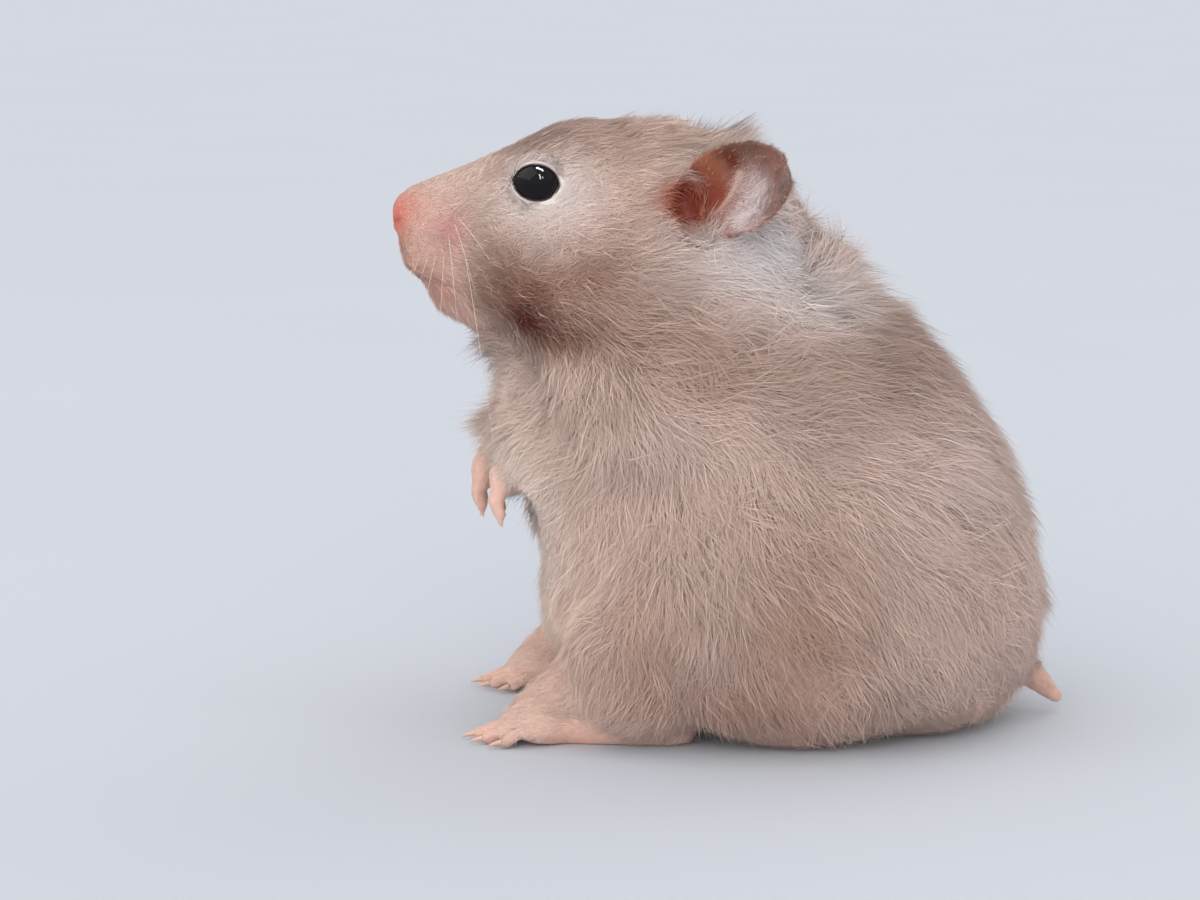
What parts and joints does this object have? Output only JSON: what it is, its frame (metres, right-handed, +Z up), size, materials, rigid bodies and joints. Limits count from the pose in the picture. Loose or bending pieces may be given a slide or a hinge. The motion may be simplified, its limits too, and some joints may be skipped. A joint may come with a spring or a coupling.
{
  "type": "syrian hamster",
  "caption": "Life-size still model of a hamster sitting up on its haunches, with its forepaws held at the chest and its head level",
  "frame": {"origin": "Middle of the base of the box round the whole animal, on the ground.", "axes": "-X is the way the animal faces, along its greatest length. Y runs across it, which is its least extent, with its left side at -Y. +Z is up."},
  "size_m": [0.0876, 0.0586, 0.0785],
  "materials": {
    "coat": "matt fur of fine soft hairs, taupe brown",
    "pale_coat": "matt fur of fine soft hairs, cream",
    "bare_skin": "smooth pink skin with a faint sheen",
    "ear_skin": "thin matt skin, brown with a warm inside",
    "eye": "wet gloss black"
  },
  "bodies": {
    "root": {"head": "coat", "neck": "coat", "trunk": "coat", "thigh_left": "coat", "thigh_right": "coat", "shin_left": "pale_coat", "shin_right": "pale_coat", "foreleg_left": "pale_coat", "foreleg_right": "pale_coat", "forepaw_left": "bare_skin", "forepaw_right": "bare_skin", "hind_foot_left": "bare_skin", "hind_foot_right": "bare_skin", "nose": "bare_skin", "tail": "bare_skin", "ear_left": "ear_skin", "ear_right": "ear_skin", "eye_left": "eye", "eye_right": "eye"}
  },
  "joints": []
}
